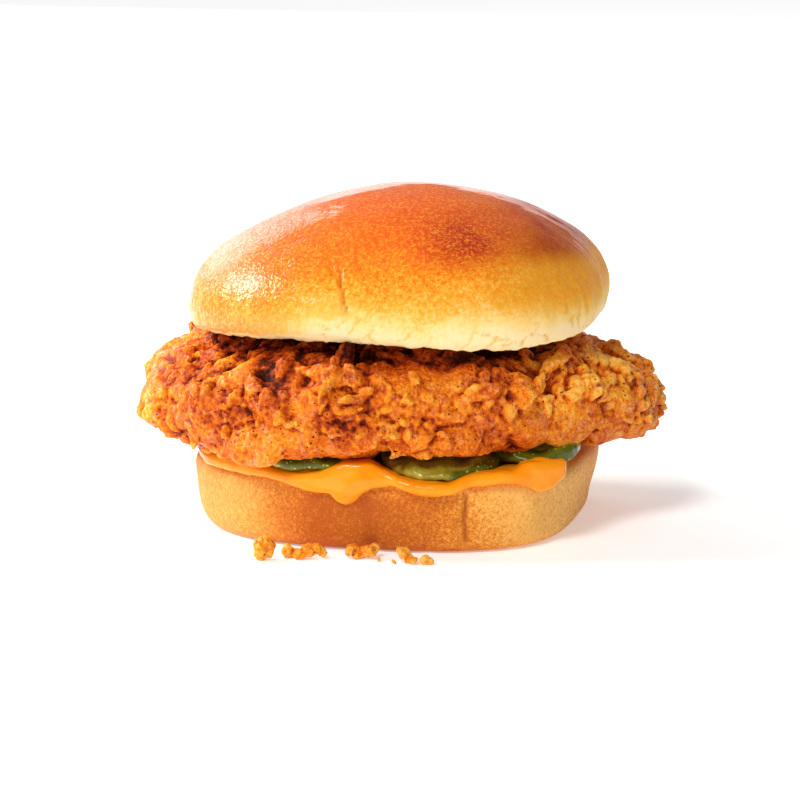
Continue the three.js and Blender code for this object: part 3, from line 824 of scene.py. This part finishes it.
def turned_to(outward, spin, lean):
    """The turn that lays a shape's Z along `outward`, spun round it, with a long edge lifted by `lean`."""
    outward = Vector(outward).normalized()
    level = Vector((0, 0, 1)).cross(outward)
    if level.length < 0.1:
        level = Vector((1, 0, 0))
    level.normalize()
    upright = outward.cross(level)
    basis = Matrix((level, upright, outward)).transposed()
    return np.array(basis @ Euler((0, 0, spin)).to_matrix() @ Euler((lean, 0, 0)).to_matrix())


def batter(piece):
    """The body of the crust: the solid's lumps, with swells, hollows and bumps of its own."""
    modify(piece, "SUBSURF", levels=1, render_levels=1)
    remesh(piece, "batter")
    mesh = piece.data
    set_points(mesh, relaxed(points_of(mesh), edges_of(mesh), 3, 0.5))
    tree = tree_of(piece)
    places = points_of(mesh)
    normals = normals_of(mesh)
    lift = np.zeros(len(places))
    calm = np.zeros(len(places))
    for spots, sign in ((DOMES, 1), (HOLLOWS, -1)):
        for x, z, radius, amount in spots:
            where, _ = front_spot(tree, x, z)
            if where is None:
                continue
            near = np.linalg.norm(places - where, axis=1) / (radius * MM)
            lift += sign * amount * MM * np.exp(-near ** 2 * 1.5)
            if sign > 0:
                calm = np.maximum(calm, 1 - ease(near, 0.55, 1.05))
    craggy = ease(rough_noise(places, 13 * MM, 81, 2), -0.15, 0.30) * (1 - 0.85 * calm)
    nearest, second, _ = cell_noise(places, 7.5 * MM, 85)
    lift -= 1.3 * MM * (1 - ease(second - nearest, 0.0, 0.22)) * craggy
    lift += 0.9 * MM * (pebbles(places, 3.9 * MM, 83) - 0.55) * craggy
    lift += 0.5 * MM * (pebbles(places, 2.1 * MM, 87) - 0.5) * (0.25 + 0.75 * craggy)
    lift = np.maximum(lift, -1.5 * MM)
    places = places + normals * lift[:, None]
    # The front edge hangs lower over the right-hand pickle slice
    over_slice = np.exp(-((places[:, 0] - 33.5 * MM) / (6.0 * MM)) ** 2)
    over_slice *= ease(-places[:, 1], 20 * MM, 28 * MM)
    places[:, 2] -= 1.9 * MM * over_slice * (1 - ease(places[:, 2], 21 * MM, 28 * MM))
    set_points(mesh, places)
    return craggy


def placed_flakes(draw, tree, ball_places):
    """The flakes that have their own places on the front."""
    shapes = []
    for x, z, half, upturn, lean in FLAKES:
        where, outward = front_spot(tree, x, z)
        if where is None:
            continue
        shape = fragment(draw, np.array(half) * MM, 9, ball_places, draw.uniform(-0.25, 0.25))
        turn = turned_to(outward, math.radians(upturn), lean)
        shapes.append(shape @ turn.T + where + outward * half[2] * 0.35 * MM)
    return shapes


def chance_of_bits(places, normals, craggy):
    """How likely a bit is at each point: likely on craggy crust, rare on the calm flap at the left end."""
    low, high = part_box("fillet")
    middle = (low.z + high.z) / 2
    steep = np.abs(normals[:, 2]) < 0.86
    outer = np.abs(places[:, 0]) > 38 * MM
    upper = 0.3 + 0.7 * ease(places[:, 2], middle - 6 * MM, middle + 3 * MM)
    flap = 1 - ease(places[:, 0], -46 * MM, -38 * MM)
    flap *= 1 - ease(places[:, 2], middle + 5 * MM, middle + 9 * MM)
    # The underside stays clear between the ends
    clear = ease(places[:, 2], 21.5 * MM, 24.5 * MM)
    clear = np.maximum(clear, ease(np.abs(places[:, 0]), 34 * MM, 38 * MM))
    return (steep | outer) * (0.05 + craggy) * upper * (1 - 0.85 * flap) * clear


def scattered_bits(draw, places, normals, chance, ball_places):
    """Granules and thin flakes by chance."""
    shapes = []
    for index in draw.choice(len(places), size=BIT_COUNT, replace=False, p=chance / chance.sum()):
        if draw.uniform() < GRANULE_SHARE:
            radius = (0.42 + 0.9 * draw.uniform() ** 2) * MM
            half = radius * np.array([draw.uniform(1.0, 1.6), 1.0, draw.uniform(0.75, 1.1)])
            lean = draw.uniform(-0.4, 0.4)
        else:
            long = draw.uniform(1.4, 2.8) * MM
            half = np.array([long, long * draw.uniform(0.4, 0.75), draw.uniform(0.5, 0.8) * MM])
            lean = draw.uniform(-0.7, 0.7)
        shape = fragment(draw, half, 10, ball_places, draw.uniform(-0.25, 0.25))
        turn = turned_to(normals[index], draw.uniform(0, 2 * math.pi), lean)
        shapes.append(shape @ turn.T + places[index] + normals[index] * half[2] * draw.uniform(-0.2, 0.3))
    return shapes


def bits_on(piece, craggy):
    """One mesh of all the bits that stand on the batter."""
    draw = np.random.default_rng(BIT_SEED)
    places = points_of(piece.data)
    normals = normals_of(piece.data)
    ball_places, faces = ball(3)
    shapes = placed_flakes(draw, tree_of(piece), ball_places)
    chance = chance_of_bits(places, normals, craggy)
    shapes += scattered_bits(draw, places, normals, chance, ball_places)
    return joined("bits", shapes, faces)


def keep_crust_numbers(mesh, places, normals, patch, nudge=0.0):
    """What the crust's material reads: how far each point stands out, broadly and finely, which paints
    shade in the crevices and highlights on the tips, and its tone.
    """
    edges = edges_of(mesh)
    keep_number(mesh, "proud", proudness(places, normals, edges, 24) / (0.8 * MM) + nudge)
    keep_number(mesh, "crest", proudness(places, normals, edges, 3) / (0.12 * MM))
    keep_number(mesh, "patch", patch)


def fillet():
    piece = copy_of("fillet", "fried_fillet")
    craggy = batter(piece)
    bits = bits_on(piece, craggy)
    piece.data = merged("fried_fillet", piece.data, bits)
    remesh(piece, "fillet")
    mesh = piece.data
    places = relaxed(points_of(mesh), edges_of(mesh), 1, 0.2)
    set_points(mesh, places)
    normals = normals_of(mesh)
    rough = 0.45 + 0.55 * ease(rough_noise(places, 6 * MM, 107, 2), -0.3, 0.3)
    lift = 0.36 * MM * (pebbles(places, 1.15 * MM, 101) - 0.5) * rough
    lift += 0.20 * MM * rough_noise(places, 0.8 * MM, 105, 2) * rough
    set_points(mesh, places + normals * lift[:, None])
    thin(piece, FILLET_TRIANGLES)
    mesh = piece.data
    places = points_of(mesh)
    # Tone patches on the front: partly fried colour, partly painted shade below the crown and painted light
    # on the swells and the right-hand end
    patch = np.zeros(len(places))
    for x, z, radius, amount in PATCHES:
        away = np.hypot(places[:, 0] - x * MM, places[:, 2] - z * MM) / (radius * MM)
        patch += amount * np.exp(-away ** 2) * ease(-places[:, 1], 0.0, 12 * MM)
    keep_crust_numbers(mesh, places, normals_of(mesh), patch)
    dress(piece, fried_crust("fried_crust"), ["fillet"])


def proudness(places, normals, edges, steps):
    """How far each point stands out of the smoothed surface: above 0 on tips, below 0 in crevices."""
    smooth = relaxed(places, edges, steps, 0.8)
    return np.sum((places - smooth) * normals, axis=1)


def thin(piece, wanted):
    """Fewer triangles: first on the top and bottom, which the bun hides, then where it is smoothest."""
    mesh = piece.data
    places = points_of(mesh)
    normals = normals_of(mesh)
    inside = 1 - ease(np.abs(places[:, 0]), 34 * MM, 40 * MM)
    inside *= 1 - ease(np.abs(places[:, 1]), 28 * MM, 34 * MM)
    hidden = inside * ease(np.abs(normals[:, 2]), 0.5, 0.8)
    group = piece.vertex_groups.new(name="hidden")
    group.add([int(index) for index in np.flatnonzero(hidden > 0.5)], 1.0, "REPLACE")
    covered = float(np.mean(hidden > 0.5))
    modify(piece, "DECIMATE", decimate_type="COLLAPSE", ratio=1 - covered * 0.9, vertex_group="hidden")
    left = len(triangles_of(piece.data))
    if left > wanted:
        modify(piece, "DECIMATE", decimate_type="COLLAPSE", ratio=wanted / left)
    piece.vertex_groups.clear()


def fried_crust(name):
    look = Graph(name)
    proud = look.kept("proud")
    crest = look.maths("MAXIMUM", look.maths("MINIMUM", look.kept("crest"), 1.5), -1.5)
    across, height = look.across_and_height()
    broad = look.swing(12 * MM, 3.0, 0.55)
    medium = look.swing(2.6 * MM, 4.0, 0.65)
    tone = look.added(medium, 0.6, broad)
    # The front's tone patches, partly painted shade and painted light
    tone = look.plus(tone, look.kept("patch"))
    tone = look.plus(tone, look.span(across, -52 * MM, -38 * MM, 0.14, 0.0))
    # Darker where the crown shades it
    shaded = look.span(height, UNDERSIDE - 4.5 * MM, UNDERSIDE - 0.5 * MM, 0.0, -0.40)
    tone = look.plus(tone, shaded)
    # Painted shade and painted highlights: the tone is darker in the crevices and paler on the tips and
    # fine crests
    hollow = look.maths("MAXIMUM", look.maths("MINIMUM", proud, 0.0), -1.3)
    tip = look.maths("MINIMUM", look.maths("MAXIMUM", proud, 0.0), 1.0)
    tone = look.added(hollow, 0.46, tone)
    tone = look.added(tip, 0.11, tone)
    tone = look.added(crest, 0.13, tone)
    grit = look.swing(0.7 * MM, 6.0, 0.8)
    tone = look.added(grit, 1.15, tone)
    # A base tone, raised towards the right-hand end: painted light on the end that the key light leaves in
    # shade
    tone = look.plus(tone, look.span(across, 18 * MM, 34 * MM, 0.51, 0.57))
    shade = look.ramp(tone, [
        (0.0, 58, 14, 1), (0.16, 120, 34, 2), (0.34, 180, 66, 3), (0.52, 216, 98, 8),
        (0.68, 236, 128, 20), (0.84, 248, 156, 38), (1.0, 254, 186, 74),
    ])
    pepper = look.span(look.cells(1.4 * MM), 0.11, 0.17, 1.0, 0.0)
    scarce = look.span(look.noise(3 * MM, 1.0), 0.38, 0.46)
    shade = look.mix(look.times(pepper, scarce), shade, colour(24, 10, 4))
    paprika = look.span(look.cells(1.0 * MM), 0.10, 0.22, 1.0, 0.0)
    shade = look.mix(look.times(paprika, 0.5), shade, colour(166, 48, 4))
    granules = look.maths("SUBTRACT", 1.0, look.cells(0.7 * MM))
    normal = look.bump(look.noise(1.4 * MM, 4.0, 0.7), 0.5, 0.45 * MM)
    normal = look.bump(granules, 0.8, 0.36 * MM, normal)
    normal = look.bump(look.noise(0.35 * MM, 3.0, 0.7), 0.6, 0.2 * MM, normal)
    # Oil stands on the crust in patches and gives small sharp glints
    oily = look.span(look.noise(1.8 * MM, 3.0, 0.6), 0.48, 0.62)
    oily = look.times(oily, look.span(proud, -0.7, 0.0))
    oily = look.times(oily, look.span(tone, 0.30, 0.50))
    return look.finish(Base_Color=shade, Roughness=0.5, Normal=normal, IOR=1.45, Specular_IOR_Level=0.15,
                       Coat_Weight=look.times(oily, 0.9), Coat_Roughness=0.14, Coat_Normal=normal)


# Crumbs

# Each crumb is a few lumps grown together
LUMPS_EACH = 5
CRUMB_SEED = 23
# Where each lies on the floor, its half length, and its half height
CRUMBS = [
    (-26.6, -40.2, 2.6, 2.6), (-21.4, -38.4, 2.0, 1.6), (-18.8, -39.4, 2.4, 1.9), (-15.8, -39.0, 2.1, 1.9),
    (-8.6, -38.6, 2.2, 1.9), (-6.0, -39.2, 1.9, 1.6), (1.2, -42.6, 2.0, 2.0), (2.6, -43.6, 1.2, 1.0),
    (4.9, -44.2, 1.7, 1.3), (-1.2, -43.2, 0.6, 0.5), (-4.2, -41.4, 0.5, 0.4),
]


def crumbs():
    draw = np.random.default_rng(CRUMB_SEED)
    ball_places, faces = ball(3)
    shapes = []
    for x, y, long, high in CRUMBS:
        for _ in range(LUMPS_EACH):
            half = np.array([long * 0.55, long * 0.5, high * 0.55]) * draw.uniform(0.7, 1.1) * MM
            shape = fragment(draw, half, 8, ball_places)
            turn = turned_to((draw.uniform(-1, 1), draw.uniform(-1, 1), 1), draw.uniform(0, 6), 0.0)
            middle = np.array([x, y, high * 0.8]) * MM
            offset = draw.uniform(-0.5, 0.5, size=3) * np.array([long, long * 0.7, high]) * MM
            shapes.append(shape @ turn.T + middle + offset)
    piece = new_piece("crumbs", joined("crumbs", shapes, faces))
    remesh(piece, "crumbs")
    mesh = piece.data
    places = points_of(mesh)
    normals = normals_of(mesh)
    lift = 0.25 * MM * (pebbles(places, 0.9 * MM, 131) - 0.5)
    lift += 0.10 * MM * rough_noise(places, 0.7 * MM, 135, 2)
    places = places + normals * lift[:, None]
    places[:, 2] = np.maximum(places[:, 2], 0.0)
    set_points(mesh, places)
    keep_crust_numbers(mesh, places, normals, np.full(len(places), 0.24), nudge=0.3)
    dress(piece, fried_crust("crumb_crust"))


# Studio

WHITE = (1.0, 1.0, 1.0, 1.0)
# Half the floor's width, in metres, and how brightly it glows of itself
FLOOR_HALF = 6.0
FLOOR_GLOW = 0.30
WORLD_STRENGTH = 0.28
# The sun: where it shines from, its strength, and how wide it looks, in degrees
SUN_FROM = Vector((-0.38, -0.74, 0.80))
SUN_STRENGTH = 1.75
SUN_WIDTH = 16
# The lamps: where each stands and its width and height, in metres, and its power in watts
LAMPS = {
    "left_box": ((-0.56, 0.12, 0.47), (0.34, 0.34), 6.4),
    "left_panel": ((-0.50, 0.90, 0.42), (0.60, 0.50), 2.8),
    "wall": ((0.30, 1.20, 0.16), (1.8, 0.24), 1.9),
}


def floor():
    corners = np.array([(-1, -1, 0), (1, -1, 0), (1, 1, 0), (-1, 1, 0)]) * FLOOR_HALF
    mesh = triangle_mesh("floor", corners, np.array([(0, 1, 2), (0, 2, 3)]))
    piece = new_piece("floor", mesh)
    look = Graph("floor_finish")
    tone = look.mix(look.noise(0.4, 2.0), colour(250, 250, 250), colour(253, 253, 253))
    mesh.materials.append(look.finish(Base_Color=tone, Roughness=0.7, Specular_IOR_Level=0.2,
                                      Emission_Color=WHITE, Emission_Strength=FLOOR_GLOW))


def aimed(name, data, where):
    """A lamp or camera that looks at the burger."""
    item = new_piece(name, data)
    item.location = where
    item.rotation_mode = "QUATERNION"
    item.rotation_quaternion = (TARGET - Vector(where)).to_track_quat("-Z", "Y")
    return item


def area_light(name, where, size, power):
    data = bpy.data.lights.new(name, "AREA")
    data.shape = "RECTANGLE"
    data.size, data.size_y = size
    data.energy = power
    aimed(name, data, where)


def studio():
    scene = bpy.context.scene
    world = bpy.data.worlds.new("studio")
    world.use_nodes = True
    backdrop = world.node_tree.nodes["Background"]
    backdrop.inputs["Color"].default_value = WHITE
    backdrop.inputs["Strength"].default_value = WORLD_STRENGTH
    scene.world = world
    sun = bpy.data.lights.new("key", "SUN")
    sun.energy = SUN_STRENGTH
    sun.angle = math.radians(SUN_WIDTH)
    aimed("key", sun, TARGET + SUN_FROM)
    for name, (where, size, power) in LAMPS.items():
        area_light(name, where, size, power)
    scene.view_settings.view_transform = "Standard"
    scene.view_settings.look = "None"


def camera():
    data = bpy.data.cameras.new("camera")
    data.lens = CAMERA["lens"]
    data.sensor_width = SENSOR_WIDTH
    data.clip_start, data.clip_end = 0.05, 50.0
    raised = math.radians(CAMERA["elevation"])
    away = Vector((0.0, -math.cos(raised), math.sin(raised))) * CAMERA["distance"] * MM
    bpy.context.scene.camera = aimed("camera", data, TARGET + away)


camera()
studio()
floor()
crown()
sauce_layer(heel())
for pickle_node in SKIN_FROM:
    pickle(pickle_node)
fillet()
crumbs()
